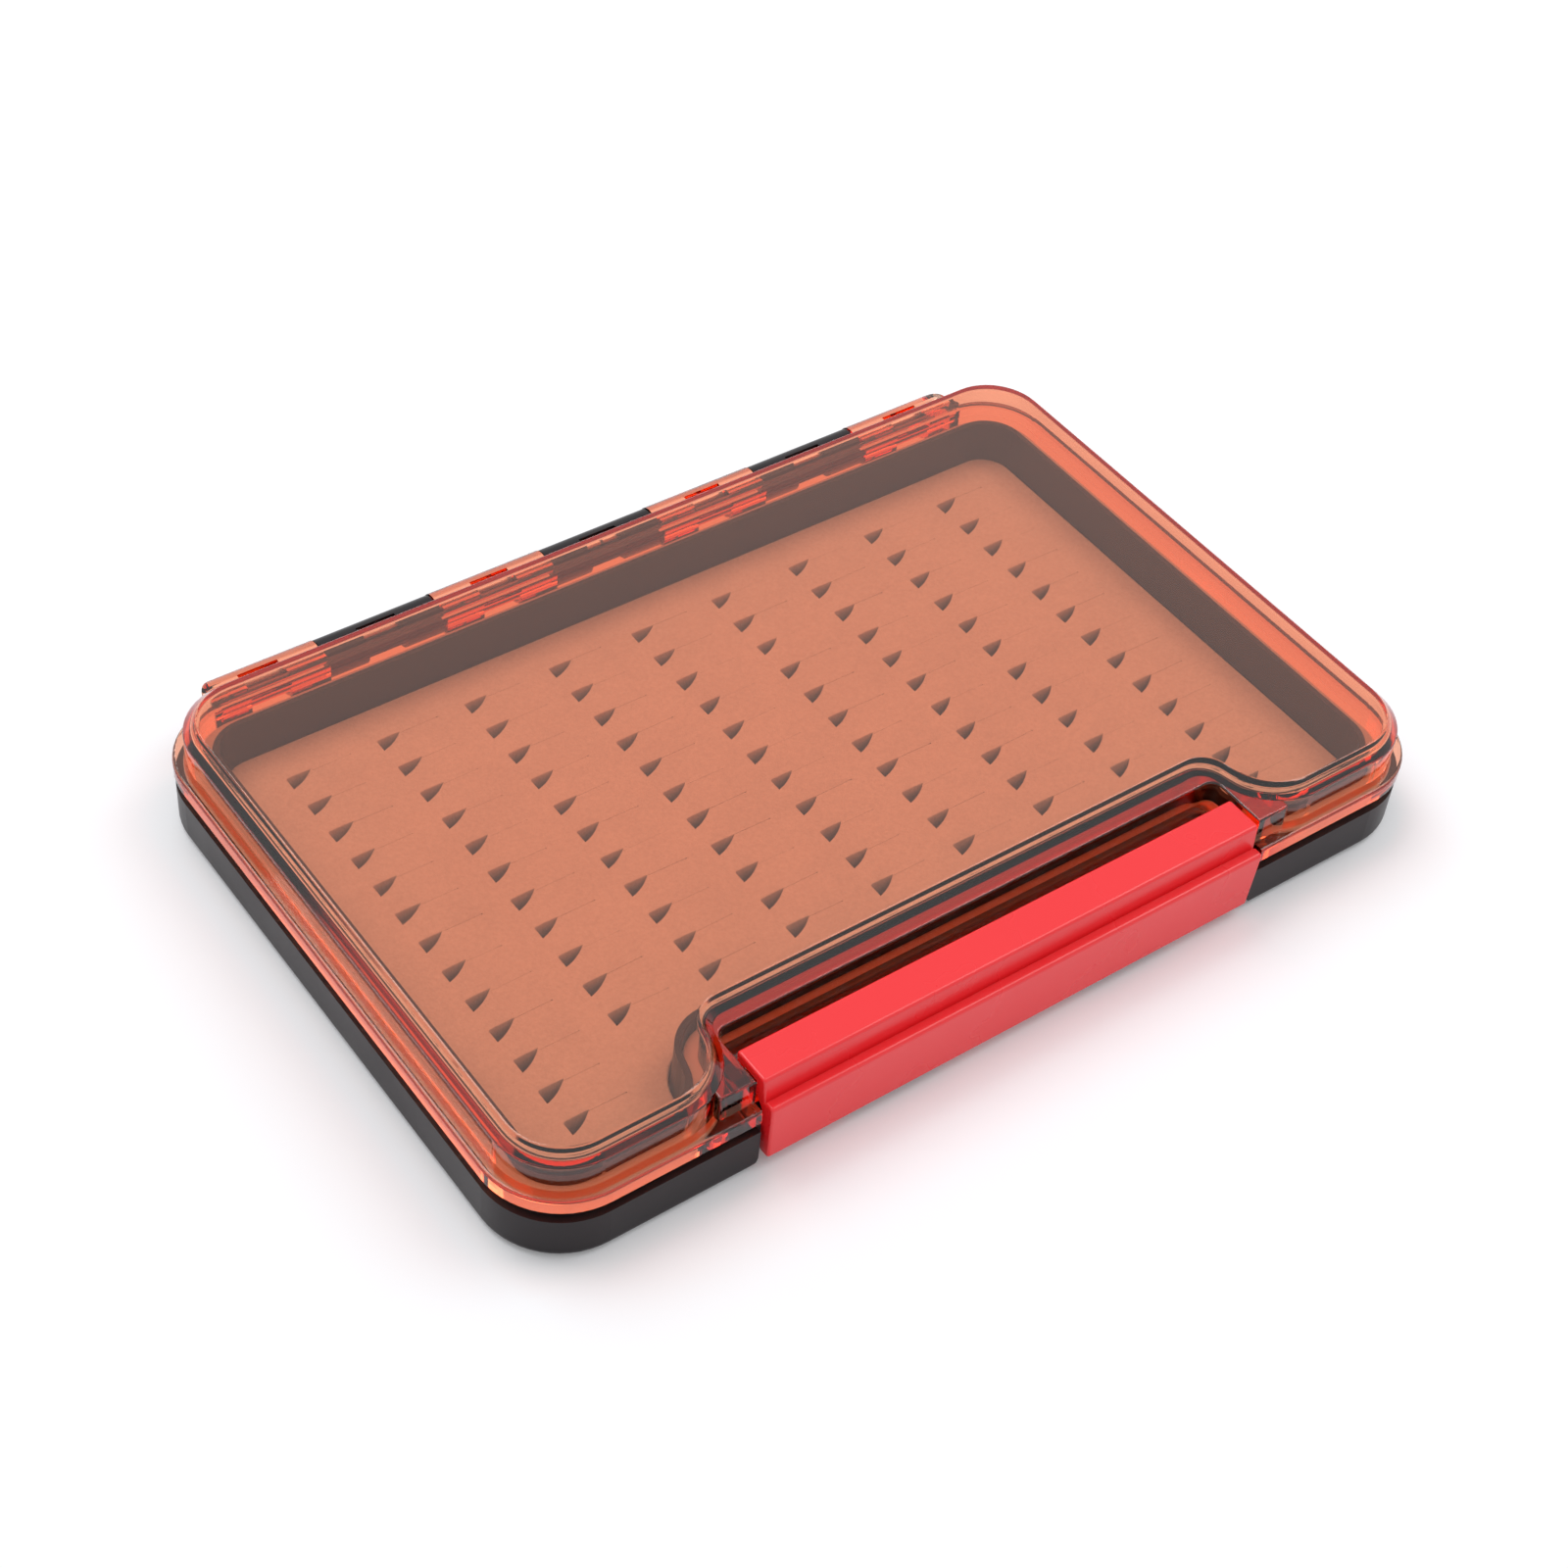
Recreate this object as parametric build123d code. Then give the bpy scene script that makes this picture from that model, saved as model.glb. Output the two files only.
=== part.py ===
from build123d import *
import math
import os

# Slim jig box in millimetres: x along the latch edge, y towards the hinge, z up.
# The origin is the middle of the flange outline, on the surface that the box stands on.

# The closed box, measured over its flange
box_length = 137.0
box_depth = 90.0
box_height = 16.0
corner_radius = 10.5
parting_height = 8.4

# Lid
flange_thickness = 2.0
flange_edge_radius = 0.4
raised_inset = 1.55
shoulder_drop = 1.7
shoulder_width = 1.65
shoulder_edge_radius = 0.35
lid_wall = 1.5
lid_roof = 1.5
roof_corner_radius = 0.6
shelf_edge_radius = 0.35
catch_floor_drop = 1.8
catch_bar_width = 1.6

# Latch notch in the lid, and the double bend of the raised wall round it
notch_depth = 10.0
notch_ledge = 1.7
notch_corner_radius = 1.5
shelf_length = 5.0
shelf_corner_radius = 0.5
bend_front_radius = 9.2
bend_rear_radius = 2.3

# Base
rim_gap = 0.8
base_inset = 0.15
foot_radius = 1.2
grip_groove_height = 1.9
grip_groove_depth = 1.1
floor_thickness = 1.2
lip_inset = 4.9
lip_width = 0.9
lip_height = 2.6
lip_edge_radius = 0.25
tray_lean = 40.0
skin = 1.5
rib_thickness = 1.2
rib_pitch = 22.0

# Seal, foam and its adhesive
seal_outer_inset = 1.3
seal_seat_gap = 0.15
seal_lid_gap = 0.05
seal_edge_radius = 0.2
foam_top = 4.2
foam_gap = 0.25
adhesive_thickness = 0.15
cutout_pitch_x = 12.93
cutout_pitch_y = 5.33
cutout_shift_x = -2.3
cutout_rear_margin = 6.25
cutout_front_margin = 6.0
cutout_length = 3.4
cutout_width = 2.0
cutout_bulge = 0.25

# Lid hinge
hinge_clearance = 0.1
knuckle_pitch = 17.1
knuckle_gap = 0.2
hinge_end_margin = 8.0
hinge_rise = 0.5
lid_knuckle_radius = 2.1
base_knuckle_step = 0.1
knuckle_end_radius = 4.5
knuckle_window = 5.7
web_depth = 3.2
hinge_pin_radius = 0.8
pin_recess = 1.5
fixed_fit = 0.02
running_fit = 0.06

# Latch
latch_half = 37.4
latch_side_gap = 0.6
latch_rear_gap = 3.6
latch_proud = 0.85
latch_heel = 1.3
latch_face_lean = 0.35
latch_ledge_height = 10.9
latch_step = 1.6
latch_leg = 1.5
latch_wall = 1.9
latch_end_lean = 0.46
latch_edge_radius = 0.5
latch_end_radius = 0.35
nib_width = 1.2
nib_depth = 0.6
catch_clearance = 0.15

# Latch hinge, hidden behind the latch
latch_axis_depth = 2.55
latch_axis_height = 2.9
lug_radius = 1.25
lug_clearance = 0.15
lug_centre = 18.0
lug_length = 12.0
barrel_end = 34.0
barrel_gap = 1.0
recess_clearance = 0.2
recess_side_gap = 0.4
recess_corner_radius = 2.0
latch_pin_radius = 0.6

# Places that follow from the sizes above
front_edge = -box_depth / 2
rear_edge = box_depth / 2
rim_top = parting_height - rim_gap
ledge_height = parting_height - grip_groove_height
lip_top = rim_top + lip_height
lip_inner_inset = lip_inset + lip_width
seal_top = parting_height - seal_lid_gap
flange_top = parting_height + flange_thickness
shelf_height = box_height - shoulder_drop
roof_underside = box_height - lid_roof
notch_half = latch_half + latch_side_gap
notch_rear = front_edge + notch_depth
recess_half = latch_half + recess_side_gap
foam_bottom = floor_thickness + adhesive_thickness
base_knuckle_radius = lid_knuckle_radius - base_knuckle_step
hinge_y = rear_edge + lid_knuckle_radius + hinge_clearance
hinge_z = parting_height + hinge_rise
latch_front = front_edge - latch_proud
latch_rear = notch_rear - latch_rear_gap
latch_y = latch_front + latch_axis_depth
latch_z = latch_axis_height
latch_bottom = latch_z - latch_heel
recess_face = latch_y + max(lug_radius, latch_heel) + recess_clearance
leg_underside = shelf_height - latch_leg
catch_floor_top = leg_underside - catch_floor_drop
catch_radius = leg_underside - latch_z - catch_clearance

# How far cutters run past what they cut, and how near counts as touching
overshoot = 2.0
touch = 0.001


def window_outline(inset, z):
    """The raised window's outline, moved inwards from the flange edge, as a face at height z."""
    front_r = bend_front_radius + raised_inset - inset
    rear_r = bend_rear_radius - raised_inset + inset
    bend_x = notch_half + inset - raised_inset
    front_y = front_edge + inset
    back_y = rear_edge - inset
    side_x = box_length / 2 - inset
    notch_y = notch_rear + notch_ledge + inset - raised_inset
    corner_r = corner_radius - inset
    front_centre = Vector(bend_x + front_r, front_y + front_r)
    rear_centre = Vector(bend_x - rear_r, notch_y - rear_r)
    between = front_centre - rear_centre
    heading = math.degrees(math.atan2(between.Y, between.X))
    swing = math.degrees(math.acos((front_r + rear_r) / between.length))
    turn = heading + swing
    rear_arc = CenterArc(rear_centre, rear_r, 90, turn - 90)
    front_arc = CenterArc(front_centre, front_r, 180 + turn, 90 - turn)
    corner_x = side_x - corner_r
    front_corner = CenterArc((corner_x, front_y + corner_r), corner_r, 270, 90)
    back_corner = CenterArc((corner_x, back_y - corner_r), corner_r, 0, 90)
    half = Curve() + [
        Line((0, notch_y), rear_arc @ 0),
        rear_arc,
        Line(rear_arc @ 1, front_arc @ 0),
        front_arc,
        Line(front_arc @ 1, front_corner @ 0),
        front_corner,
        Line(front_corner @ 1, back_corner @ 0),
        back_corner,
        Line(back_corner @ 1, (0, back_y)),
    ]
    return Pos(0, 0, z) * make_face(half + mirror(half, Plane.YZ))


def window_block(inset, low, high):
    """A straight-sided block on the window outline."""
    return extrude(window_outline(inset, low), high - low)


def window_taper(low_inset, low, high_inset, high):
    """A block whose wall leans from one inset to another."""
    return loft([window_outline(low_inset, low), window_outline(high_inset, high)], ruled=True)


def plate(length, depth, radius, low, high):
    """A plate with round corners about the origin."""
    return extrude(Pos(0, 0, low) * RectangleRounded(length, depth, radius), high - low)


def block(x_low, x_high, y_low, y_high, z_low, z_high):
    """A box from its two corners."""
    size = (x_high - x_low, y_high - y_low, z_high - z_low)
    return Pos(x_low, y_low, z_low) * Box(*size, align=Align.MIN)


def rod(x_low, x_high, y, z, radius):
    """A round bar along x."""
    turned = Pos(x_low, y, z) * Rot(0, 90, 0)
    return turned * Cylinder(radius, x_high - x_low, align=(Align.CENTER, Align.CENTER, Align.MIN))


def side_profile(points, x_low, x_high):
    """A section drawn in y and z, run along x."""
    section = Plane.YZ.offset(x_low) * make_face(Polyline(*points, close=True))
    return extrude(section, x_high - x_low)


def edges_at(shape, z):
    """The edges that lie flat at height z."""
    return shape.edges().filter_by_position(Axis.Z, z - touch, z + touch)


def tray_inset(z):
    """How far in the tray's leaning wall is at height z."""
    return lip_inner_inset + (lip_top - z) / tray_lean


def knuckle_spans():
    """The x range of every hinge knuckle, left to right, an odd number of them."""
    room = box_length - 2 * hinge_end_margin
    count = 2 * int((room / knuckle_pitch - 1) / 2) + 1
    start = -count * knuckle_pitch / 2
    spans = []
    for index in range(count):
        low = start + index * knuckle_pitch + knuckle_gap / 2
        spans.append((low, low + knuckle_pitch - knuckle_gap))
    return spans


spans = knuckle_spans()
lid_spans = spans[0::2]
base_spans = spans[1::2]
hinge_end = spans[-1][1]


def knuckle_windows(some_spans):
    """The slots that open the front upper quarter of each knuckle at its middle."""
    slots = []
    for low, high in some_spans:
        middle = (low + high) / 2
        half = knuckle_window / 2
        slots.append(block(middle - half, middle + half, rear_edge, hinge_y, hinge_z, box_height))
    return slots


def hinge_ends():
    """The plan that rounds off the outer ends of the hinge."""
    depth = 2 * (hinge_y + lid_knuckle_radius)
    return plate(2 * hinge_end, depth, knuckle_end_radius, 0, box_height)


def make_lid_shell():
    flange = plate(box_length, box_depth, corner_radius, parting_height, flange_top)
    flange = fillet(edges_at(flange, flange_top), flange_edge_radius)
    roof_inset = raised_inset + shoulder_width
    raised = window_block(raised_inset, parting_height, shelf_height)
    raised += window_taper(raised_inset, shelf_height, roof_inset, box_height)
    shoulder_edges = edges_at(raised, box_height) + edges_at(raised, shelf_height)
    raised = fillet(shoulder_edges, shoulder_edge_radius)
    wall_y = front_edge + raised_inset
    shelf_end = notch_half + shelf_length
    shelf = block(-shelf_end, shelf_end, wall_y, notch_rear + notch_depth, parting_height, shelf_height)
    uprights = shelf.edges().filter_by(Axis.Z).filter_by_position(Axis.Y, front_edge, notch_rear)
    shelf = fillet(uprights, shelf_corner_radius)
    mouth = block(-notch_half, notch_half, front_edge - notch_depth, notch_rear, 0, box_height)
    corners = mouth.edges().filter_by(Axis.Z).filter_by_position(Axis.Y, front_edge, 0)
    mouth = fillet(corners, notch_corner_radius)
    shelf = shelf - mouth
    rims = edges_at(shelf, shelf_height)
    shelf = fillet(rims.filter_by_position(Axis.Y, front_edge, notch_rear + touch), shelf_edge_radius)
    shell = flange - mouth + shelf + raised

    # The notch floor carries the bar that the latch's leg comes down over
    plate_back = latch_front + latch_step + latch_wall
    bar_front = plate_back + catch_clearance
    bar_rear = bar_front + catch_bar_width
    floor = block(-notch_half, notch_half, bar_front, notch_rear, parting_height, catch_floor_top)
    bar = block(-notch_half, notch_half, bar_front, bar_rear, parting_height, shelf_height)
    bar = bar & rod(-notch_half, notch_half, latch_y, latch_z, catch_radius)
    shell = shell + floor + bar

    for low, high in lid_spans:
        shell += rod(low, high, hinge_y, hinge_z, lid_knuckle_radius) & hinge_ends()
        web = block(low, high, rear_edge - flange_thickness, hinge_y, parting_height, flange_top)
        shell += web & hinge_ends()
    shell = shell - knuckle_windows(lid_spans)
    for low, high in lid_spans:
        shell -= rod(low - overshoot, high + overshoot, hinge_y, hinge_z, hinge_pin_radius + running_fit)

    hollow = window_block(raised_inset + lid_wall, 0, roof_underside)
    hollow = fillet(edges_at(hollow, roof_underside), roof_corner_radius)
    return shell - hollow


def latch_recess():
    """The gap in the base's front that the latch hangs in, with its lower corners rounded."""
    low = -recess_half - recess_corner_radius
    high = recess_half + recess_corner_radius
    front = front_edge - overshoot
    gap = block(-recess_half, recess_half, front, recess_face, -overshoot, rim_top + overshoot)
    flare = block(low, high, front, recess_face, -overshoot, recess_corner_radius)
    for side in (low, high):
        centre = Pos(side, front, recess_corner_radius) * Rot(-90, 0, 0)
        length = recess_face - front
        bottom = (Align.CENTER, Align.CENTER, Align.MIN)
        flare -= centre * Cylinder(recess_corner_radius, length, align=bottom)
    return gap + flare


def underside_pockets():
    """The moulder's hollow between the outer skin and the tray's wall, crossed by ribs."""
    inset = base_inset + skin
    top = ledge_height - skin
    length = box_length - 2 * inset
    depth = box_depth - 2 * inset
    pocket = plate(length, depth, corner_radius - inset, -overshoot, top)
    tray = window_taper(tray_inset(-overshoot) - skin, -overshoot, tray_inset(top) - skin, top)
    pocket -= tray
    keep = recess_half + skin
    pocket -= block(-keep, keep, front_edge, recess_face + skin, -overshoot, top)
    half_rib = rib_thickness / 2
    middle_y = (recess_face + notch_rear + notch_ledge) / 2 + skin
    pocket -= block(-keep, keep, middle_y - half_rib, middle_y + half_rib, -overshoot, top)
    across = int((box_length / 2 - corner_radius) / rib_pitch)
    for index in range(-across, across + 1):
        x = index * rib_pitch
        pocket -= block(x - half_rib, x + half_rib, front_edge, rear_edge, -overshoot, top)
    along = int((box_depth / 2 - corner_radius) / rib_pitch)
    for index in range(-along, along + 1):
        y = index * rib_pitch
        pocket -= block(-box_length, box_length, y - half_rib, y + half_rib, -overshoot, top)
    return pocket


def make_base_shell():
    length = box_length - 2 * base_inset
    depth = box_depth - 2 * base_inset
    shell = plate(length, depth, corner_radius - base_inset, 0, ledge_height)
    shell = fillet(edges_at(shell, 0), foot_radius)
    rim_length = box_length - 2 * grip_groove_depth
    rim_depth = box_depth - 2 * grip_groove_depth
    shell += plate(rim_length, rim_depth, corner_radius - grip_groove_depth, foot_radius, rim_top)
    shell = shell - latch_recess()
    lip = window_block(lip_inset, floor_thickness, lip_top)
    lip = fillet(edges_at(lip, lip_top), lip_edge_radius)
    shell = shell + lip
    shell -= window_taper(tray_inset(floor_thickness), floor_thickness, lip_inner_inset, lip_top)
    shell -= underside_pockets()

    for low, high in base_spans:
        wall_y = rear_edge - grip_groove_depth - skin / 2
        low_z = hinge_z - web_depth
        axis_low_z = hinge_z - base_knuckle_radius
        corners = [(wall_y, rim_top), (wall_y, low_z), (rear_edge - base_inset, low_z)]
        corners += [(hinge_y, axis_low_z), (hinge_y, rim_top)]
        shell += side_profile(corners, low, high)
        shell += rod(low, high, hinge_y, hinge_z, base_knuckle_radius)
    shell = shell - knuckle_windows(base_spans)
    for low, high in base_spans:
        shell -= rod(low - overshoot, high + overshoot, hinge_y, hinge_z, hinge_pin_radius + fixed_fit)

    for centre in (-lug_centre, lug_centre):
        low = centre - lug_length / 2
        high = centre + lug_length / 2
        shell += rod(low, high, latch_y, latch_z, lug_radius)
        root = recess_face + skin / 2
        shell += block(low, high, latch_y, root, latch_z - lug_radius, latch_z + lug_radius)
        shell -= rod(low - barrel_gap, high + barrel_gap, latch_y, latch_z, latch_pin_radius + fixed_fit)
    return shell


def make_lid_seal():
    seal = window_block(seal_outer_inset, rim_top, seal_top)
    seal -= window_block(lip_inset - seal_seat_gap, rim_top, seal_top)
    return fillet(edges_at(seal, seal_top), seal_edge_radius)


def cutout(x, y):
    """One jig pocket: a right triangle with a slightly bowed long side."""
    corner = (x - cutout_length / 3, y + cutout_width / 3)
    tip = (corner[0] + cutout_length, corner[1])
    foot = (corner[0], corner[1] - cutout_width)
    bowed = RadiusArc(tip, foot, -(cutout_length**2 + cutout_width**2) / (8 * cutout_bulge))
    return make_face(Curve() + [Line(foot, corner), Line(corner, tip), bowed])


def cutout_places():
    """Rows and columns of jig pockets, with longer columns beside the latch notch."""
    foam_inset = tray_inset(foam_top) + foam_gap
    columns = int((box_length - 2 * foam_inset) / cutout_pitch_x)
    first_x = cutout_shift_x - (columns - 1) * cutout_pitch_x / 2
    first_y = rear_edge - foam_inset - cutout_rear_margin
    places = []
    for column in range(columns):
        x = first_x + column * cutout_pitch_x
        beside = abs(x) > notch_half + bend_front_radius
        foam_front = front_edge if beside else notch_rear + notch_ledge - raised_inset
        room = first_y - foam_front - foam_inset - cutout_front_margin
        for row in range(int(room / cutout_pitch_y) + 1):
            places.append((x, first_y - row * cutout_pitch_y))
    return places


def make_slit_foam():
    low_inset = tray_inset(foam_bottom) + foam_gap
    foam = window_taper(low_inset, foam_bottom, tray_inset(foam_top) + foam_gap, foam_top)
    cutters = Sketch() + [cutout(x, y) for x, y in cutout_places()]
    return foam - extrude(Pos(0, 0, floor_thickness) * cutters, foam_top)


def make_foam_adhesive():
    return window_block(tray_inset(floor_thickness) + foam_gap, floor_thickness, foam_bottom)


def make_latch():
    face_y = latch_front + latch_face_lean
    riser_y = latch_front + latch_step
    plate_y = riser_y + latch_wall
    inner_y = face_y + latch_wall
    ledge = latch_ledge_height
    groove = latch_edge_radius / 2
    nib_y = latch_rear - nib_width
    corners = [
        (face_y, latch_bottom),
        (latch_front, ledge),
        (riser_y - groove, ledge),
        (riser_y - groove, ledge - groove),
        (riser_y, ledge - groove),
        (riser_y + groove, shelf_height),
        (latch_rear, shelf_height),
        (latch_rear, leg_underside - nib_depth),
        (nib_y, leg_underside - nib_depth),
        (nib_y, leg_underside),
        (plate_y, leg_underside),
        (plate_y, catch_floor_top),
        (inner_y, catch_floor_top - latch_wall),
        (inner_y, latch_bottom),
    ]
    body = side_profile(corners, -latch_half, latch_half)
    long_edges = body.edges().filter_by(Axis.X)
    soft = []
    for edge in long_edges:
        middle = edge.center()
        at_front = abs(middle.Y - latch_front) < touch
        at_top = abs(middle.Z - shelf_height) < touch
        at_foot = abs(middle.Z - latch_bottom) < touch
        if at_front or at_top or at_foot:
            soft.append(edge)
    body = fillet(soft, latch_edge_radius)

    # The ends lean in towards the foot and have rounded edges
    lean = latch_end_lean / (shelf_height - latch_bottom)
    low = latch_half - latch_end_lean - overshoot * lean
    high = latch_half + overshoot * lean
    foot = latch_bottom - overshoot
    top = shelf_height + overshoot
    ends = make_face(Polyline((-low, foot), (low, foot), (high, top), (-high, top), close=True))
    front_plane = Plane(origin=(0, latch_front - overshoot, 0), x_dir=(1, 0, 0), z_dir=(0, -1, 0))
    body = body & extrude(front_plane * ends, -notch_depth - 2 * overshoot)
    end_faces = body.faces().filter_by(lambda face: abs(face.normal_at().X) > abs(face.normal_at().Y))
    end_faces = end_faces.filter_by(lambda face: abs(face.normal_at().X) > abs(face.normal_at().Z))
    body = fillet(end_faces.edges(), latch_end_radius)

    lug_low = lug_centre - lug_length / 2 - barrel_gap
    lug_high = lug_centre + lug_length / 2 + barrel_gap
    for low_x, high_x in ((-barrel_end, -lug_high), (-lug_low, lug_low), (lug_high, barrel_end)):
        body += rod(low_x, high_x, latch_y, latch_z, lug_radius)
        bore = latch_pin_radius + running_fit
        body -= rod(low_x - barrel_gap, high_x + barrel_gap, latch_y, latch_z, bore)
    reach = lug_radius + lug_clearance
    for low_x, high_x in ((-lug_high, -lug_low), (lug_low, lug_high)):
        body -= rod(low_x, high_x, latch_y, latch_z, reach)
        body -= block(low_x, high_x, latch_y - reach, latch_y + reach, 0, latch_z)
    return body


def make_hinge_pin(side):
    inner = knuckle_gap
    outer = hinge_end - pin_recess
    low, high = (-outer, -inner) if side == "left" else (inner, outer)
    return rod(low, high, hinge_y, hinge_z, hinge_pin_radius)


def make_latch_pin(side):
    inner = knuckle_gap
    outer = barrel_end - pin_recess
    low, high = (-outer, -inner) if side == "left" else (inner, outer)
    return rod(low, high, latch_y, latch_z, latch_pin_radius)


os.makedirs("parts", exist_ok=True)
export_step(make_base_shell(), "parts/base_shell.step")
export_step(make_lid_shell(), "parts/lid_shell.step")
export_step(make_lid_seal(), "parts/lid_seal.step")
export_step(make_slit_foam(), "parts/slit_foam.step")
export_step(make_foam_adhesive(), "parts/foam_adhesive.step")
export_step(make_latch(), "parts/latch.step")
for side in ("left", "right"):
    export_step(make_hinge_pin(side), f"parts/hinge_pin_{side}.step")
    export_step(make_latch_pin(side), f"parts/latch_pin_{side}.step")
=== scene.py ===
# %% [markdown]
# # A jig box in clear orange and black plastic
# The box is three mouldings: a black base, a clear orange lid and a red latch bar. Inside lies a pale foam
# sheet with rows of small triangular pockets. The moulded pieces come from the CAD model, and only need a
# finish. The foam is soft, so its CAD solid is replaced here by a fuller mesh. Everything is in metres.

import math

import bmesh
import bpy
from mathutils import Matrix, Quaternion, Vector


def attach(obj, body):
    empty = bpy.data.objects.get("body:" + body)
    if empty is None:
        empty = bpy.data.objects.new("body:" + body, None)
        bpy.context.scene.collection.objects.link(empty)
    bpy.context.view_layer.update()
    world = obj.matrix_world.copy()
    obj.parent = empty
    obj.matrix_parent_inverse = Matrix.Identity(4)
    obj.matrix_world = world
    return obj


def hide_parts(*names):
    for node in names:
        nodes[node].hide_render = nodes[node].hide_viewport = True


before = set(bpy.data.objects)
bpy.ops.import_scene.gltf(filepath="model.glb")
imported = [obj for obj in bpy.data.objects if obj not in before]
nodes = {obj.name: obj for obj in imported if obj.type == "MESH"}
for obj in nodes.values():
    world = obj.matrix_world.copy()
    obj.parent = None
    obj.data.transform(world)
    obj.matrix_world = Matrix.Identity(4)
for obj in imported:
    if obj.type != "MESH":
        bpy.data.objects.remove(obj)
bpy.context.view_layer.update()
MM = 0.001
print("pieces in the frame:", sorted(nodes))

# %% [markdown]
# ## Camera
# The photograph looks down at the box from its front left, with a long lens, and the camera is rolled by
# six degrees. It could be moved by hand until the box fits, but its place, direction and roll can be solved
# from the box's straight edges and round corners, and those numbers stand here. A camera looks along its own
# -Z, so a tracking quaternion turns it to the view direction first, and the roll follows.

# %% Camera
CAMERA_PLACE = Vector((-168.94, -198.85, 266.18)) * MM
SENSOR_WIDTH = 36.0
FOCAL_PIXELS = 2956.77
IMAGE_WIDTH = 1600

view_direction = Vector((0.4526, 0.5396, -0.7099))
camera_roll = math.radians(5.96)
turn = view_direction.to_track_quat("-Z", "Y") @ Quaternion((0, 0, 1), camera_roll)

camera_data = bpy.data.cameras.new("camera")
camera_data.sensor_width = SENSOR_WIDTH
camera_data.lens = FOCAL_PIXELS / IMAGE_WIDTH * SENSOR_WIDTH
camera_data.clip_start = 0.01
camera = bpy.data.objects.new("camera", camera_data)
bpy.context.scene.collection.objects.link(camera)
camera.matrix_world = Matrix.Translation(CAMERA_PLACE) @ turn.to_matrix().to_4x4()
bpy.context.scene.camera = camera
print("lens", round(camera_data.lens, 2), "mm, right", [round(v, 4) for v in turn @ Vector((1, 0, 0))])

# %% [markdown]
# ## Helpers
# Colours are written as they look on a screen, in sRGB hex, but a shader works with linear light, so one
# function turns one into the other. A second function adds a node with its settings, its values and its
# links, which keeps a material readable as a list of steps. A third gives the share of rays that should see
# a surface as the eye does.


# %% Colours and nodes
def linear(hex_code):
    """Turns an sRGB hex colour into the linear RGBA that a shader works with."""
    shares = [int(hex_code[i : i + 2], 16) / 255 for i in (1, 3, 5)]
    return tuple(s / 12.92 if s <= 0.04045 else ((s + 0.055) / 1.055) ** 2.4 for s in shares) + (1.0,)


def add_node(tree, kind, settings=None, values=None, links=None):
    """Adds one node. settings are its own, values go into its sockets, and links feed its sockets."""
    node = tree.nodes.new(kind)
    for name, value in (settings or {}).items():
        setattr(node, name, value)
    for socket, value in (values or {}).items():
        node.inputs[socket].default_value = value
    for socket, source in (links or {}).items():
        tree.links.new(source, node.inputs[socket])
    return node


def seen_or_mirrored(tree):
    """Gives 1 to rays from the camera, gloss and clear plastic, and 0 to rays that carry soft light."""
    path = add_node(tree, "ShaderNodeLightPath")
    rays = {0: path.outputs["Is Camera Ray"], 1: path.outputs["Is Glossy Ray"]}
    straight = add_node(tree, "ShaderNodeMath", {"operation": "MAXIMUM"}, links=rays)
    rays = {0: straight.outputs[0], 1: path.outputs["Is Transmission Ray"]}
    return add_node(tree, "ShaderNodeMath", {"operation": "MAXIMUM"}, links=rays).outputs[0]


print("mid grey #808080 is", round(linear("#808080")[0], 3), "in linear light")

# %% [markdown]
# ## Light from all round
# The photograph was taken in a white tent: light comes softly from all round, a little more from behind and
# from the right, and the shadow falls to the front and the left. A picture of a studio could be wrapped
# round the scene, but a plain dim world gives the same soft light and is easier to tune. Rays that go
# straight to the camera, or that come from gloss and clear plastic, see the world at full white, as they
# would see the tent.


# %% World
LIGHT_FROM_ALL_ROUND = 0.62

world = bpy.data.worlds.new("white_tent")
world.use_nodes = True
sky = world.node_tree
sky.nodes.clear()
strength = add_node(
    sky,
    "ShaderNodeMapRange",
    values={"To Min": LIGHT_FROM_ALL_ROUND, "To Max": 1.0},
    links={"Value": seen_or_mirrored(sky)},
)
tent = add_node(
    sky,
    "ShaderNodeBackground",
    values={"Color": linear("#FFFFFF")},
    links={"Strength": strength.outputs["Result"]},
)
add_node(sky, "ShaderNodeOutputWorld", links={"Surface": tent.outputs[0]})
bpy.context.scene.world = world
bpy.context.scene.view_settings.view_transform = "Standard"
print("world strength", LIGHT_FROM_ALL_ROUND)

# %% [markdown]
# ## Two lamps
# The tent is brighter behind the box and on its right. A sun lamp would draw the shadow with a hard edge.
# Two large area lamps, high up and facing the box, give it the soft edge of the photograph.


# %% Lamps
def softbox(name, place, size, watts):
    """A rectangular lamp of a given width and height that faces the middle of the box."""
    data = bpy.data.lights.new(name, "AREA")
    data.shape = "RECTANGLE"
    data.size, data.size_y = size
    data.energy = watts
    lamp = bpy.data.objects.new(name, data)
    lamp.location = place
    lamp.rotation_euler = (-Vector(place)).to_track_quat("-Z", "Y").to_euler()
    bpy.context.scene.collection.objects.link(lamp)
    return lamp


softbox("softbox_behind", (-0.12, 0.28, 0.58), (0.40, 0.40), 1.7)
# The box on the right throws the pale shadow to the left, and stays out of what the flat window mirrors.
softbox("softbox_right", (0.36, -0.10, 0.52), (0.32, 0.32), 0.85)

# %% [markdown]
# ## Floor
# The box lies on white card that runs out of sight. The floor could be left out, and the world would show
# white behind the box, but the box would float, because nothing would catch its shadow. So the card is a
# matt surface, with a faint glow of its own that only the eye, gloss and clear plastic see.

# %% Floor
FLOOR_DROP = 0.05 * MM  # keeps the floor just clear of the box's flat underside
FLOOR_REACH = 1.5
GLOW_NEAR, GLOW_FAR = 0.08, 0.50  # the floor's own light, near the box and far from it
GLOW_STARTS, GLOW_ENDS = 0.20, 0.45  # the distances, in metres, between which it grows

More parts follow.
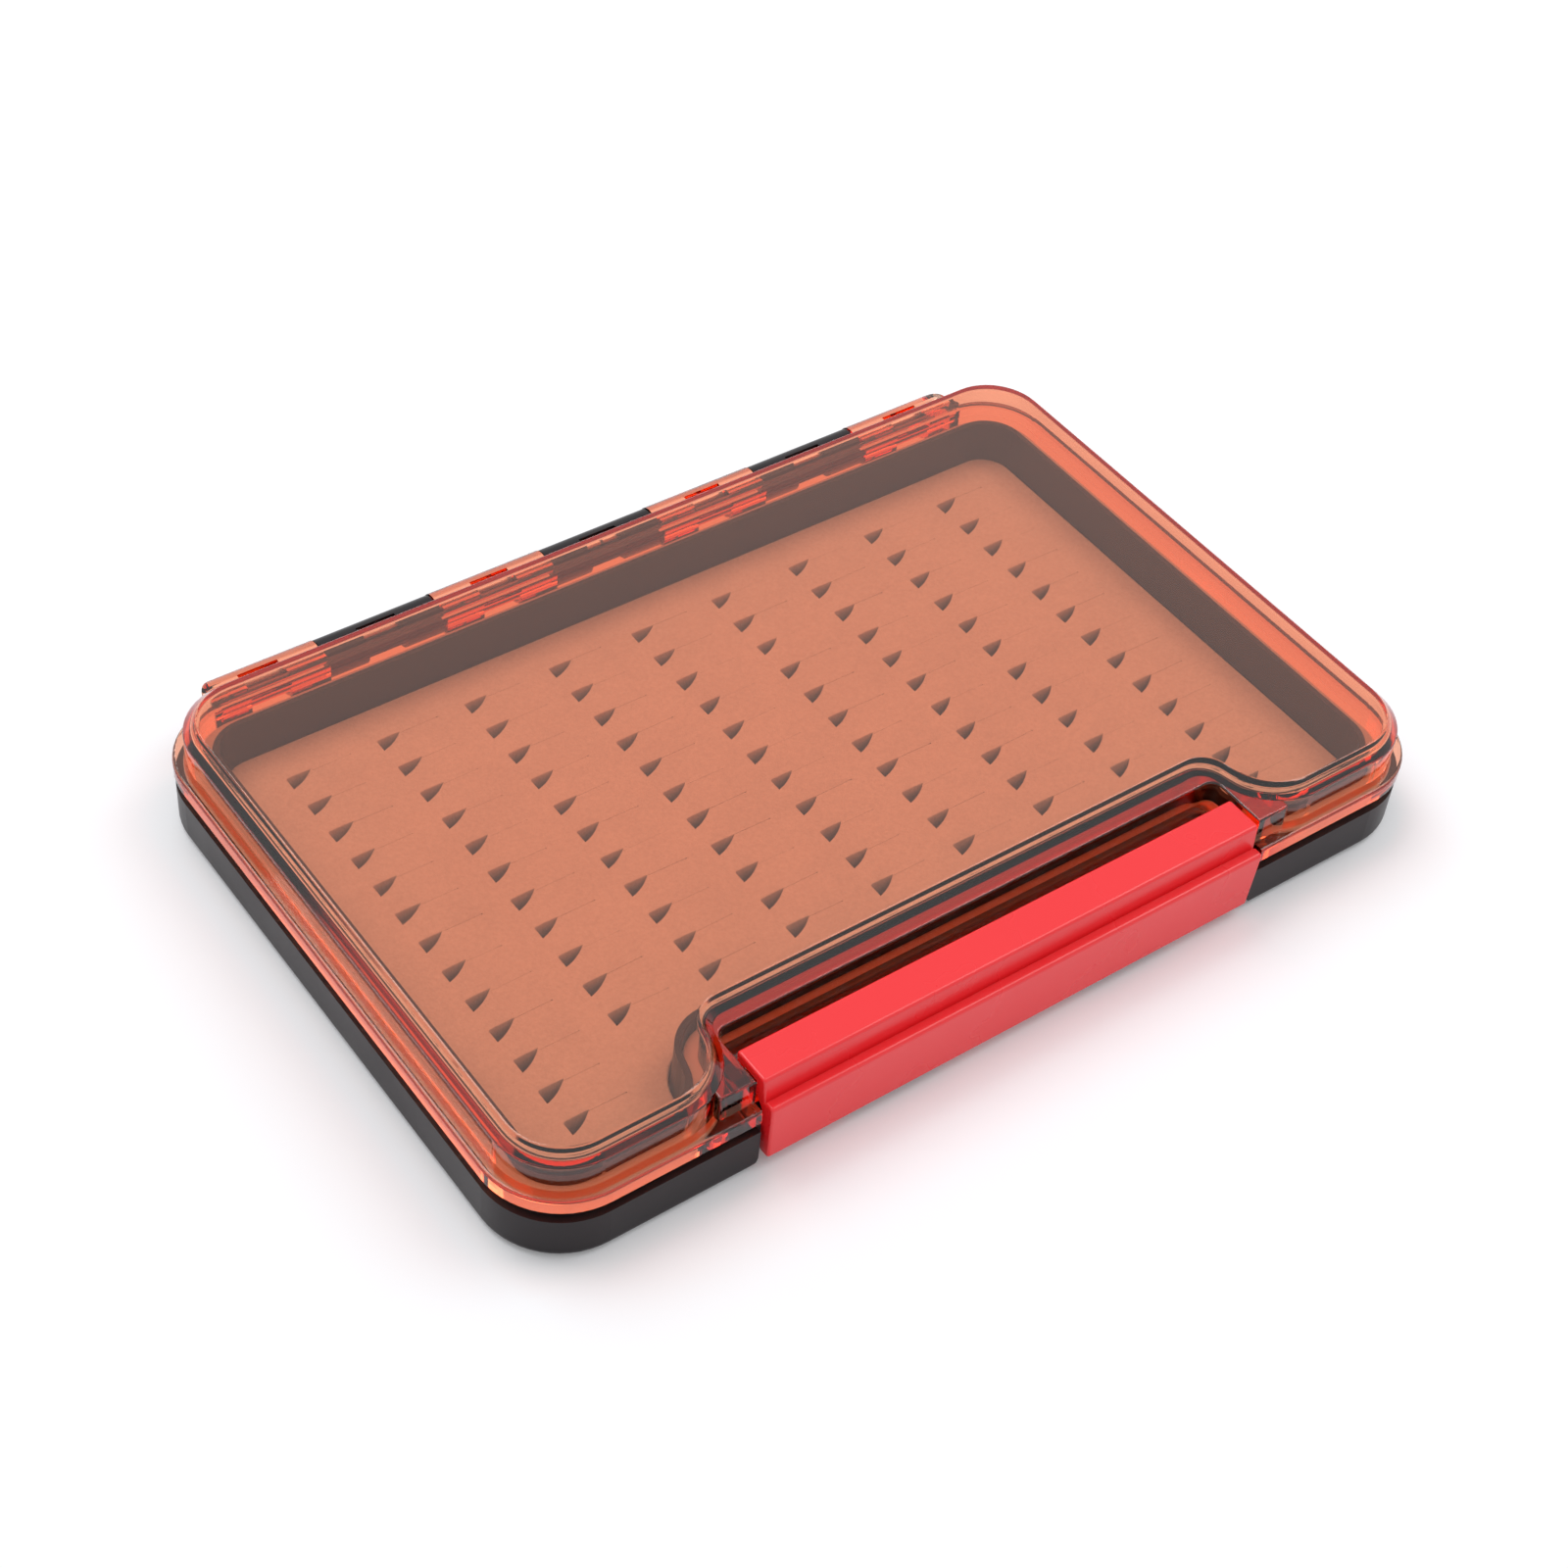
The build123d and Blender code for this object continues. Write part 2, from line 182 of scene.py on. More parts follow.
floor_mesh = bpy.data.meshes.new("floor")
corners = [(x * FLOOR_REACH, y * FLOOR_REACH, -FLOOR_DROP) for x, y in ((-1, -1), (1, -1), (1, 1), (-1, 1))]
floor_mesh.from_pydata(corners, [], [(0, 1, 2, 3)])
floor = bpy.data.objects.new("floor", floor_mesh)
bpy.context.scene.collection.objects.link(floor)

paper = bpy.data.materials.new("matt_white_card")
paper.use_nodes = True
tree = paper.node_tree
tree.nodes.clear()
# The lamps reach less of the floor further out, so the floor's own glow makes up for it there.
at = add_node(tree, "ShaderNodeTexCoord")
far = add_node(tree, "ShaderNodeVectorMath", {"operation": "LENGTH"}, links={0: at.outputs["Object"]})
glowing = add_node(
    tree,
    "ShaderNodeMapRange",
    values={"From Min": GLOW_STARTS, "From Max": GLOW_ENDS, "To Min": GLOW_NEAR, "To Max": GLOW_FAR},
    links={"Value": far.outputs["Value"]},
)
lift = add_node(
    tree,
    "ShaderNodeMath",
    {"operation": "MULTIPLY"},
    links={0: seen_or_mirrored(tree), 1: glowing.outputs["Result"]},
)
card = add_node(tree, "ShaderNodeBsdfDiffuse", values={"Color": linear("#F5F6F9")})
glow = add_node(
    tree,
    "ShaderNodeEmission",
    values={"Color": linear("#FFFFFF")},
    links={"Strength": lift.outputs[0]},
)
both = add_node(tree, "ShaderNodeAddShader", links={0: card.outputs[0], 1: glow.outputs[0]})
add_node(tree, "ShaderNodeOutputMaterial", links={"Surface": both.outputs[0]})
floor_mesh.materials.append(paper)
print("floor at", floor.data.vertices[0].co.z, "m")

# %% [markdown]
# ## Black ABS
# The base is moulded in black ABS in a satin tool. The eye sees a dark, faintly warm grey rather than
# black, because the satin skin scatters the white surroundings. A spark-eroded tool leaves a grain of about
# 0.15 mm. That grain could be modelled, but a bump gives the same look and adds no faces. A moulding is
# never quite even, and a handled one is smoother in places, so two near colours and the roughness vary
# slowly over the surface. One function makes every opaque plastic here, because they differ only in colour,
# gloss and grain.


# %% Moulded plastic helper
def moulded_plastic(name, skin, deep, rough, rough_swing, grain_mm, grain_mm_deep, shine=0.5):
    """An opaque plastic: two near colours mixed slowly, a fine grain, and gloss that varies by wear."""
    material = bpy.data.materials.new(name)
    material.use_nodes = True
    tree = material.node_tree
    tree.nodes.clear()
    at = add_node(tree, "ShaderNodeTexCoord")
    flow = add_node(
        tree,
        "ShaderNodeTexNoise",
        values={"Scale": 1 / (14 * MM), "Detail": 3.0, "Roughness": 0.55},
        links={"Vector": at.outputs["Object"]},
    )
    grain = add_node(
        tree,
        "ShaderNodeTexNoise",
        values={"Scale": 1 / (grain_mm * MM), "Detail": 2.0},
        links={"Vector": at.outputs["Object"]},
    )
    tint = add_node(
        tree,
        "ShaderNodeMix",
        {"data_type": "RGBA"},
        values={6: linear(skin), 7: linear(deep)},
        links={0: flow.outputs["Fac"]},
    )
    gloss = add_node(
        tree,
        "ShaderNodeMapRange",
        values={
            "From Min": 0.3,
            "From Max": 0.7,
            "To Min": rough - rough_swing,
            "To Max": rough + rough_swing,
        },
        links={"Value": flow.outputs["Fac"]},
    )
    bump = add_node(
        tree,
        "ShaderNodeBump",
        values={"Strength": 1.0, "Distance": grain_mm_deep * MM},
        links={"Height": grain.outputs["Fac"]},
    )
    wave = add_node(
        tree,
        "ShaderNodeBump",
        values={"Strength": 0.6, "Distance": 0.03 * MM},
        links={"Height": flow.outputs["Fac"], "Normal": bump.outputs["Normal"]},
    )
    body = add_node(
        tree,
        "ShaderNodeBsdfPrincipled",
        values={"IOR": 1.54, "Specular IOR Level": shine},
        links={
            "Base Color": tint.outputs[2],
            "Roughness": gloss.outputs["Result"],
            "Normal": wave.outputs["Normal"],
        },
    )
    add_node(tree, "ShaderNodeOutputMaterial", links={"Surface": body.outputs[0]})
    return material


def finish(node_name, material):
    """Gives a CAD node's only material slot a new material."""
    nodes[node_name].material_slots[0].material = material


# %% [markdown]
# The base keeps the faces of its CAD solid, because they have its true edges and rounds. Only its finish is
# new.

# %% Base
# Satin black ABS: a dark warm grey with a soft, wide highlight.
black_abs = moulded_plastic(
    "moulded_black_abs",
    "#1F1A1D",
    "#272124",
    rough=0.36,
    rough_swing=0.05,
    grain_mm=0.15,
    grain_mm_deep=0.0012,
    shine=0.2,
)
finish("base_shell", black_abs)
print("base finish:", black_abs.name)

# %% [markdown]
# ## Red ABS
# The latch is a bright red ABS bar from a smoother tool. It is nearly as bright as the red primary of a
# screen, with crisp highlights along its rounded edges. A clear coat could give those, but the real bar has
# none, so the same function makes it with a lower roughness.

# %% Latch
red_abs = moulded_plastic(
    "moulded_red_abs",
    "#F2262D",
    "#EE2029",
    rough=0.27,
    rough_swing=0.04,
    grain_mm=0.25,
    grain_mm_deep=0.002,
)
finish("latch", red_abs)
print("latch finish:", red_abs.name)

# %% [markdown]
# ## Clear orange polycarbonate
# The lid is dyed through, so it gets deeper in colour where the eye looks through more of it: pale copper
# through the roof and strong orange through the flange. A tinted surface would be quicker, but thick and
# thin parts would then look alike. So the surface stays clear, and a volume takes away light with depth.

# %% Lid surface
# Loss of red, green and blue light for each millimetre, solved from the foam's colour through the roof.
ROOF_THICKNESS = 1.5
LOSS_PER_MM = (0.02, 0.35, 0.54)

clear_orange = bpy.data.materials.new("clear_orange_polycarbonate")
clear_orange.use_nodes = True
tree = clear_orange.node_tree
tree.nodes.clear()
at = add_node(tree, "ShaderNodeTexCoord")
# Moulding flow makes the walls wave by a few microns over a centimetre, and a used lid has rubbed, duller
# patches.
flow = add_node(
    tree,
    "ShaderNodeTexNoise",
    values={"Scale": 1 / (9 * MM), "Detail": 2.0},
    links={"Vector": at.outputs["Object"]},
)
rubbed = add_node(
    tree,
    "ShaderNodeTexNoise",
    values={"Scale": 1 / (22 * MM), "Detail": 6.0, "Roughness": 0.6},
    links={"Vector": at.outputs["Object"]},
)
gloss = add_node(
    tree,
    "ShaderNodeMapRange",
    values={"From Min": 0.35, "From Max": 0.75, "To Min": 0.015, "To Max": 0.05},
    links={"Value": rubbed.outputs["Fac"]},
)
wave = add_node(
    tree,
    "ShaderNodeBump",
    values={"Strength": 0.5, "Distance": 0.007 * MM},
    links={"Height": flow.outputs["Fac"]},
)
clear = add_node(
    tree,
    "ShaderNodeBsdfPrincipled",
    values={"Base Color": linear("#FFFFFF"), "Transmission Weight": 1.0, "IOR": 1.585},
    links={"Roughness": gloss.outputs["Result"], "Normal": wave.outputs["Normal"]},
)
print("clear surface:", clear_orange.name)

# %% [markdown]
# A lamp can't shine through refracting plastic by itself in a path tracer. Caustics could carry its light
# through, but they are slow and full of noise. So rays to lamps and rays from soft surfaces go straight
# through, and only the volume tints them.

# %% Lid light and dye
path = add_node(tree, "ShaderNodeLightPath")
straight = add_node(
    tree,
    "ShaderNodeMath",
    {"operation": "MAXIMUM"},
    links={0: path.outputs["Is Shadow Ray"], 1: path.outputs["Is Diffuse Ray"]},
)
through = add_node(tree, "ShaderNodeBsdfTransparent", values={"Color": linear("#F4F4F4")})
lid_mix = add_node(
    tree,
    "ShaderNodeMixShader",
    links={0: straight.outputs[0], 1: clear.outputs[0], 2: through.outputs[0]},
)
strongest = max(LOSS_PER_MM)
dye = add_node(
    tree,
    "ShaderNodeVolumeAbsorption",
    values={
        "Color": tuple(1 - loss / strongest for loss in LOSS_PER_MM) + (1.0,),
        "Density": strongest / MM,
    },
)
add_node(tree, "ShaderNodeOutputMaterial", links={"Surface": lid_mix.outputs[0], "Volume": dye.outputs[0]})
finish("lid_shell", clear_orange)
print("light left after the roof:", [round(math.exp(-ROOF_THICKNESS * loss), 2) for loss in LOSS_PER_MM])

# %% [markdown]
# ## Seal and adhesive
# The seal is a flat ring of milky silicone that lies on the rim, under the lid's wall. Seen through the
# lid, it is what makes the rim glow orange instead of brown. The adhesive under the foam is a dark,
# slightly tacky film. Light scatters a little way into both, but they are thin and lie in the shade, so the
# function for opaque plastics serves.

# %% Seal and adhesive
silicone = moulded_plastic(
    "milky_silicone",
    "#C9C5BF",
    "#BDB8B1",
    rough=0.5,
    rough_swing=0.06,
    grain_mm=0.3,
    grain_mm_deep=0.005,
)
adhesive_film = moulded_plastic(
    "dark_adhesive_film",
    "#2A2522",
    "#1F1B19",
    rough=0.3,
    rough_swing=0.1,
    grain_mm=0.8,
    grain_mm_deep=0.02,
)
finish("lid_seal", silicone)
finish("foam_adhesive", adhesive_film)
print("soft finishes:", silicone.name, adhesive_film.name)

# %% [markdown]
# ## Pins
# The pins are drawn stainless steel wire, so their fine lines run along them. A stretched highlight could
# stand for the lines. A noise that is stretched along the wire shows them from close by as well.

# %% Pins
drawn_steel = bpy.data.materials.new("drawn_stainless_steel")
drawn_steel.use_nodes = True
tree = drawn_steel.node_tree
tree.nodes.clear()
at = add_node(tree, "ShaderNodeTexCoord")
# Drawing lines about 0.05 mm apart run along X, so the pattern is stretched a hundredfold that way.
along = add_node(
    tree,
    "ShaderNodeMapping",
    values={"Scale": (0.01, 1.0, 1.0)},
    links={"Vector": at.outputs["Object"]},
)
lines = add_node(
    tree,
    "ShaderNodeTexNoise",
    values={"Scale": 1 / (0.05 * MM), "Detail": 2.0},
    links={"Vector": along.outputs[0]},
)
shade = add_node(
    tree,
    "ShaderNodeMix",
    {"data_type": "RGBA"},
    values={6: linear("#C9C7C3"), 7: linear("#AFADA9")},
    links={0: lines.outputs["Fac"]},
)
dull = add_node(
    tree,
    "ShaderNodeMapRange",
    values={"To Min": 0.18, "To Max": 0.34},
    links={"Value": lines.outputs["Fac"]},
)
scored = add_node(
    tree,
    "ShaderNodeBump",
    values={"Strength": 0.4, "Distance": 0.004 * MM},
    links={"Height": lines.outputs["Fac"]},
)
steel = add_node(
    tree,
    "ShaderNodeBsdfPrincipled",
    values={"Metallic": 1.0},
    links={
        "Base Color": shade.outputs[2],
        "Roughness": dull.outputs["Result"],
        "Normal": scored.outputs["Normal"],
    },
)
add_node(tree, "ShaderNodeOutputMaterial", links={"Surface": steel.outputs[0]})
for pin in ("hinge_pin_left", "hinge_pin_right", "latch_pin_left", "latch_pin_right"):
    finish(pin, drawn_steel)
print("pins:", drawn_steel.name)

# %% [markdown]
# ## Foam sheet
# The sheet is die-cut from pale EVA foam. Its outline follows the tray, so it narrows round the latch's
# notch with two bends, each of two arcs. It could be drawn point by point, but the bends would wobble. Worked
# out from the arcs, they stay smooth at any inset.


# %% Foam outline
# The box's flange outline and the notch's bends, in millimetres, where the inset is 0.
BOX_LENGTH, BOX_DEPTH, CORNER_RADIUS = 137.0, 90.0, 10.5
BEND_FRONT_RADIUS, BEND_REAR_RADIUS = 10.75, 0.75
BEND_HALF_LENGTH, NOTCH_LINE = 36.45, -34.85
FOAM_BOTTOM, FOAM_TOP = 1.35, 4.2
LOW_INSET, TOP_INSET = 6.27, 6.2


def arc_points(centre, radius, start, end, steps):
    """Points on an arc between two angles in degrees, both ends among them."""
    points = []
    for i in range(steps + 1):
        angle = math.radians(start + (end - start) * i / steps)
        points.append((centre[0] + radius * math.cos(angle), centre[1] + radius * math.sin(angle)))
    return points


def tray_outline(inset, steps=14):
    """The sheet's outline in millimetres, anticlockwise, inset from the box's flange."""
    front_radius = BEND_FRONT_RADIUS - inset
    rear_radius = BEND_REAR_RADIUS + inset
    bend_x = BEND_HALF_LENGTH + inset
    notch_y = NOTCH_LINE + inset
    side_x, back_y = BOX_LENGTH / 2 - inset, BOX_DEPTH / 2 - inset
    front_y = -back_y
    corner_radius = CORNER_RADIUS - inset
    front_centre = (bend_x + front_radius, front_y + front_radius)
    rear_centre = (bend_x - rear_radius, notch_y - rear_radius)
    between = Vector(front_centre) - Vector(rear_centre)
    turn = math.degrees(
        math.atan2(between.y, between.x) + math.acos((front_radius + rear_radius) / between.length),
    )
    half = arc_points(rear_centre, rear_radius, 90, turn, steps)
    half += arc_points(front_centre, front_radius, 180 + turn, 270, steps)
    half += arc_points((side_x - corner_radius, front_y + corner_radius), corner_radius, 270, 360, steps)
    half += arc_points((side_x - corner_radius, back_y - corner_radius), corner_radius, 0, 90, steps)
    return half + [(-x, y) for x, y in reversed(half)]


print("points round the sheet:", len(tray_outline(TOP_INSET)))


# %% [markdown]
# The sheet is a stack of those outlines, one above the other, joined by walls. The top edge is rounded by a
# few closer outlines, because a die pushes soft foam down before it cuts it. A Bevel modifier would round the
# hidden lower edge as well.

# %% Foam slab
EDGE_ROUND = 0.35
EDGE_STEPS = 5


def slab_levels():
    """Inset and height of each outline, in millimetres, from the bottom to the rounded top edge."""
    levels = [(LOW_INSET, FOAM_BOTTOM), (TOP_INSET, FOAM_TOP - EDGE_ROUND)]
    for i in range(1, EDGE_STEPS + 1):
        angle = math.radians(90 * i / EDGE_STEPS)
        levels.append(
            (TOP_INSET + EDGE_ROUND * (1 - math.cos(angle)), FOAM_TOP - EDGE_ROUND * (1 - math.sin(angle))),
        )
    return levels


def stacked(name, rings):
    """A closed mesh through rings of equal point counts, lowest ring first."""
    shape = bmesh.new()
    made = [[shape.verts.new(Vector(p) * MM) for p in ring] for ring in rings]
    shape.faces.new(list(reversed(made[0])))
    for low, high in zip(made, made[1:]):
        for i in range(len(low)):
            j = (i + 1) % len(low)
            shape.faces.new((low[i], low[j], high[j], high[i]))
    shape.faces.new(made[-1])
    mesh = bpy.data.meshes.new(name)
    shape.to_mesh(mesh)
    shape.free()
    return mesh


slab_mesh = stacked(
    "foam_slab",
    [[(x, y, z) for x, y in tray_outline(inset)] for inset, z in slab_levels()],
)
print("slab faces:", len(slab_mesh.polygons))

# %% [markdown]
# ## Pockets and slits
# The die stamps a small triangle where a hook's bend drops in, and from its sharp tip a knife opens a slit
# that grips the hook's shank. Pocket and slit are made once, each as a closed cutter that flares at the
# top, so the cut gets a soft rolled lip. Plain prisms would leave hard edges, which soft foam never has.

# %% Cutter outlines
POCKET_LENGTH, POCKET_WIDTH, POCKET_BULGE = 3.4, 2.0, 0.25
POCKET_LIP, SLIT_LIP = 0.18, 0.10
SLIT_LENGTH, SLIT_DEPTH, SLIT_HALF_WIDTH = 5.4, 1.4, 0.02
SLIT_INTO_POCKET = 0.12
POCKET_DEPTH = FOAM_TOP - FOAM_BOTTOM + 0.5  # runs out below the sheet
DOT_LENGTH, DOT_BULGE = 0.24, 0.05


def pocket_ring(grow, z):
    """One outline of the pocket: a right triangle with rounded corners and a bowed long side."""
    left, rear = -POCKET_LENGTH / 3, POCKET_WIDTH / 3
    tip, foot = Vector((left + POCKET_LENGTH, rear)), Vector((left, rear - POCKET_WIDTH))
    bowed = []
    for i in range(9):
        t = i / 8
        side = tip.lerp(foot, t)
        out = Vector((POCKET_WIDTH, -POCKET_LENGTH)).normalized() * POCKET_BULGE * 4 * t * (1 - t)
        bowed.append(side + out)
    corner = Vector((left, rear))
    # Anticlockwise from the tip: along the rear side, down the left side, and back over the bowed side.
    ring = [
        tip,
        tip.lerp(corner, 0.3),
        tip.lerp(corner, 0.65),
        corner + Vector((0.22, 0)),
        corner + Vector((0.06, -0.06)),
    ]
    ring += [corner + Vector((0, -0.22)), corner.lerp(foot, 0.6)] + list(reversed(bowed[1:]))
    middle = Vector((left + POCKET_LENGTH * 0.33, rear - POCKET_WIDTH * 0.36))
    grown = []
    for point in ring:
        away = point - middle
        grown.append((point.x + grow * away.x / away.length, point.y + grow * away.y / away.length, z))
    return grown


def flare(depth, lip, steps=4):
    """Growth and height of each ring, in millimetres, for a cut with a rolled lip at the sheet's top."""
    rings = [(0.0, FOAM_TOP - depth), (0.0, FOAM_TOP - lip)]
    for i in range(1, steps + 1):
        angle = math.radians(90 * i / steps)
        rings.append((lip * (1 - math.cos(angle)), FOAM_TOP - lip + lip * math.sin(angle)))
    rings.append((rings[-1][0] + 0.05, FOAM_TOP + 0.3))
    return rings


def slit_ring(grow, z):
    """One outline of the slit: a thin blade mark from the pocket's tip to the dot at the blade's end."""
    tip, rear = POCKET_LENGTH * 2 / 3, POCKET_WIDTH / 3 - SLIT_HALF_WIDTH - 0.01
    start, end = tip - SLIT_INTO_POCKET, tip + SLIT_LENGTH
    half = SLIT_HALF_WIDTH + grow * 0.35
    dot = half + DOT_BULGE
    front = [
        (start, -half),
        (end - 0.1 - DOT_LENGTH, -half),
        (end - 0.22, -dot),
        (end - 0.1, -dot),
        (end, -half),
    ]
    back = [(x, -y) for x, y in reversed(front)]
    return [(x, rear + y, z) for x, y in front + back]


print("points round a pocket:", len(pocket_ring(0.0, FOAM_TOP)), "and a slit:", len(slit_ring(0.0, FOAM_TOP)))

# %% [markdown]
# The cutters are stacked from their outlines in the same way as the slab. Their faces have to point outwards
# for a Boolean to know the inside from the outside, so the normals are worked out afresh.

# %% Cutter meshes
pocket_mesh = stacked(
    "pocket_cutter",
    [pocket_ring(grow, z) for grow, z in flare(POCKET_DEPTH, POCKET_LIP)],
)
slit_mesh = stacked("slit_cutter", [slit_ring(grow, z) for grow, z in flare(SLIT_DEPTH, SLIT_LIP)])
for mesh in (pocket_mesh, slit_mesh):
    shape = bmesh.new()
    shape.from_mesh(mesh)
    bmesh.ops.recalc_face_normals(shape, faces=shape.faces)
    shape.to_mesh(mesh)
    shape.free()
pocket_cutter = bpy.data.objects.new("pocket_cutter", pocket_mesh)
slit_cutter = bpy.data.objects.new("slit_cutter", slit_mesh)
print("cutter faces:", len(pocket_mesh.polygons), len(slit_mesh.polygons))

# %% [markdown]
# ## EVA foam
# Closed-cell EVA has a dry, powdery skin of cells about 0.35 mm across, lighter and darker in soft patches
# where the sheet was sliced. It is nearly white: the copper colour in the photograph is the lid's. A picture
# of foam could be laid on the sheet, but it would stretch down the walls of the cuts. Patterns that are
# worked out in space run on into them.

# %% Foam colour
eva_foam = bpy.data.materials.new("pale_eva_foam")
eva_foam.use_nodes = True
tree = eva_foam.node_tree
tree.nodes.clear()
at = add_node(tree, "ShaderNodeTexCoord")
cells = add_node(
    tree,
    "ShaderNodeTexVoronoi",
    values={"Scale": 1 / (0.35 * MM)},
    links={"Vector": at.outputs["Object"]},
)
powder = add_node(
    tree,
    "ShaderNodeTexNoise",
    values={"Scale": 1 / (0.5 * MM), "Detail": 4.0, "Roughness": 0.7},
    links={"Vector": at.outputs["Object"]},
)
patches = add_node(
    tree,
    "ShaderNodeTexNoise",
    values={"Scale": 1 / (7 * MM), "Detail": 3.0},
    links={"Vector": at.outputs["Object"]},
)
mottled = add_node(
    tree,
    "ShaderNodeMapRange",
    values={"From Min": 0.3, "From Max": 0.7},
    links={"Value": powder.outputs["Fac"]},
)
fine = add_node(
    tree,
    "ShaderNodeMix",
    {"data_type": "RGBA"},
    values={6: linear("#DADCD7"), 7: linear("#EAECE7")},
    links={0: mottled.outputs["Result"]},
)
soft = add_node(
    tree,
    "ShaderNodeMapRange",
    values={"From Min": 0.3, "From Max": 0.7, "To Min": 0.94, "To Max": 1.0},
    links={"Value": patches.outputs["Fac"]},
)
shaded = add_node(
    tree,
    "ShaderNodeVectorMath",
    {"operation": "SCALE"},
    links={0: fine.outputs[2], "Scale": soft.outputs["Result"]},
)
print("foam patterns:", len(tree.nodes), "nodes")

# %% [markdown]
# The colour is painted darker from the sheet's top to its foot: painted shade for the deep walls of the
# pockets and slits, where little light reaches. Two bumps, one for the cells and one for the powder, give
# the skin its dry look.

# %% Foam cut walls and skin
height = add_node(tree, "ShaderNodeSeparateXYZ", links={0: at.outputs["Object"]})
# Painted shade: the colour falls to a quarter at the sheet's foot, standing in for the shade deep in the
# cuts.
painted_depth_shade = add_node(
    tree,
    "ShaderNodeMapRange",
    values={"From Min": 1.4 * MM, "From Max": 4.1 * MM, "To Min": 0.25, "To Max": 1.0},
    links={"Value": height.outputs["Z"]},
)
shaded = add_node(
    tree,
    "ShaderNodeVectorMath",
    {"operation": "SCALE"},
    links={0: shaded.outputs[0], "Scale": painted_depth_shade.outputs["Result"]},
)
pits = add_node(
    tree,
    "ShaderNodeBump",
    values={"Strength": 0.7, "Distance": 0.05 * MM},
    links={"Height": cells.outputs["Distance"]},
)
skin = add_node(
    tree,
    "ShaderNodeBump",
    values={"Strength": 0.6, "Distance": 0.06 * MM},
    links={"Height": powder.outputs["Fac"], "Normal": pits.outputs["Normal"]},
)
foam_body = add_node(
    tree,
    "ShaderNodeBsdfPrincipled",
    values={"Roughness": 0.92, "IOR": 1.4, "Sheen Weight": 0.1, "Sheen Roughness": 0.6},
    links={"Base Color": shaded.outputs[0], "Normal": skin.outputs["Normal"]},
)
add_node(tree, "ShaderNodeOutputMaterial", links={"Surface": foam_body.outputs[0]})
print("foam finish:", eva_foam.name)

# %% [markdown]
# ## The press
# A die cuts all the pockets and slits in one stroke. A loop in Python could place them, but a Geometry Nodes
# tree keeps the whole pattern as one rule, with a named input for each size that someone may want to change.

# %% Geometry Nodes tree
press = bpy.data.node_groups.new("foam_pocket_press", "GeometryNodeTree")
press.interface.new_socket("Slab", in_out="INPUT", socket_type="NodeSocketGeometry")
press.interface.new_socket("Geometry", in_out="OUTPUT", socket_type="NodeSocketGeometry")
sizes = {}
for name, kind in (
    ("Pocket", "NodeSocketObject"),
    ("Slit", "NodeSocketObject"),
    ("Foam", "NodeSocketMaterial"),
    ("Columns", "NodeSocketInt"),
    ("Rows", "NodeSocketInt"),
    ("Pitch along", "NodeSocketFloat"),
    ("Pitch across", "NodeSocketFloat"),
    ("Centre", "NodeSocketVector"),
    ("Notch half length", "NodeSocketFloat"),
    ("Notch line", "NodeSocketFloat"),
    ("Most turn", "NodeSocketFloat"),
    ("Seed", "NodeSocketInt"),
):
    sizes[name] = press.interface.new_socket(name, in_out="INPUT", socket_type=kind).identifier
into = add_node(press, "NodeGroupInput")
print("inputs of the press:", list(sizes))

# %% [markdown]
# The tree starts from a grid of points, one for each pocket, and drops those that would fall in the latch's
# notch. The points that stay could be listed one by one, but a rule on their place still holds when the
# numbers of rows and columns change.

# %% Points in rows
gaps = [
    add_node(
        press,
        "ShaderNodeMath",
        {"operation": "SUBTRACT"},
        values={1: 1.0},
        links={0: into.outputs[count]},
    )
    for count in ("Columns", "Rows")
]
spans = [
    add_node(
        press,
        "ShaderNodeMath",
        {"operation": "MULTIPLY"},
        links={0: gap.outputs[0], 1: into.outputs[pitch]},
    )
    for gap, pitch in zip(gaps, ("Pitch along", "Pitch across"))
]
grid = add_node(
    press,
    "GeometryNodeMeshGrid",
    links={
        "Size X": spans[0].outputs[0],
        "Size Y": spans[1].outputs[0],
        "Vertices X": into.outputs["Columns"],
        "Vertices Y": into.outputs["Rows"],
    },
)
centred = add_node(
    press,
    "GeometryNodeTransform",
    links={"Geometry": grid.outputs["Mesh"], "Translation": into.outputs["Centre"]},
)
place = add_node(press, "GeometryNodeInputPosition")
parts = add_node(press, "ShaderNodeSeparateXYZ", links={0: place.outputs[0]})
sideways = add_node(press, "ShaderNodeMath", {"operation": "ABSOLUTE"}, links={0: parts.outputs["X"]})
middle = add_node(
    press,
    "FunctionNodeCompare",
    {"operation": "LESS_THAN"},
    links={0: sideways.outputs[0], 1: into.outputs["Notch half length"]},
)
low = add_node(
    press,
    "FunctionNodeCompare",
    {"operation": "LESS_THAN"},
    links={0: parts.outputs["Y"], 1: into.outputs["Notch line"]},
)
in_notch = add_node(
    press,
    "FunctionNodeBooleanMath",
    {"operation": "AND"},
    links={0: middle.outputs[0], 1: low.outputs[0]},
)
points = add_node(
    press,
    "GeometryNodeDeleteGeometry",
    {"domain": "POINT"},
    links={"Geometry": centred.outputs[0], "Selection": in_notch.outputs[0]},
)
print("nodes so far:", len(press.nodes))

# %% [markdown]
# Each point gets a pocket and a slit, turned and scaled by a little at random, because a die's knives are
# never quite alike. Two Boolean nodes take them out of the slab. Dark marks in the material would be simpler,
# but they would look flat when the lid is open.


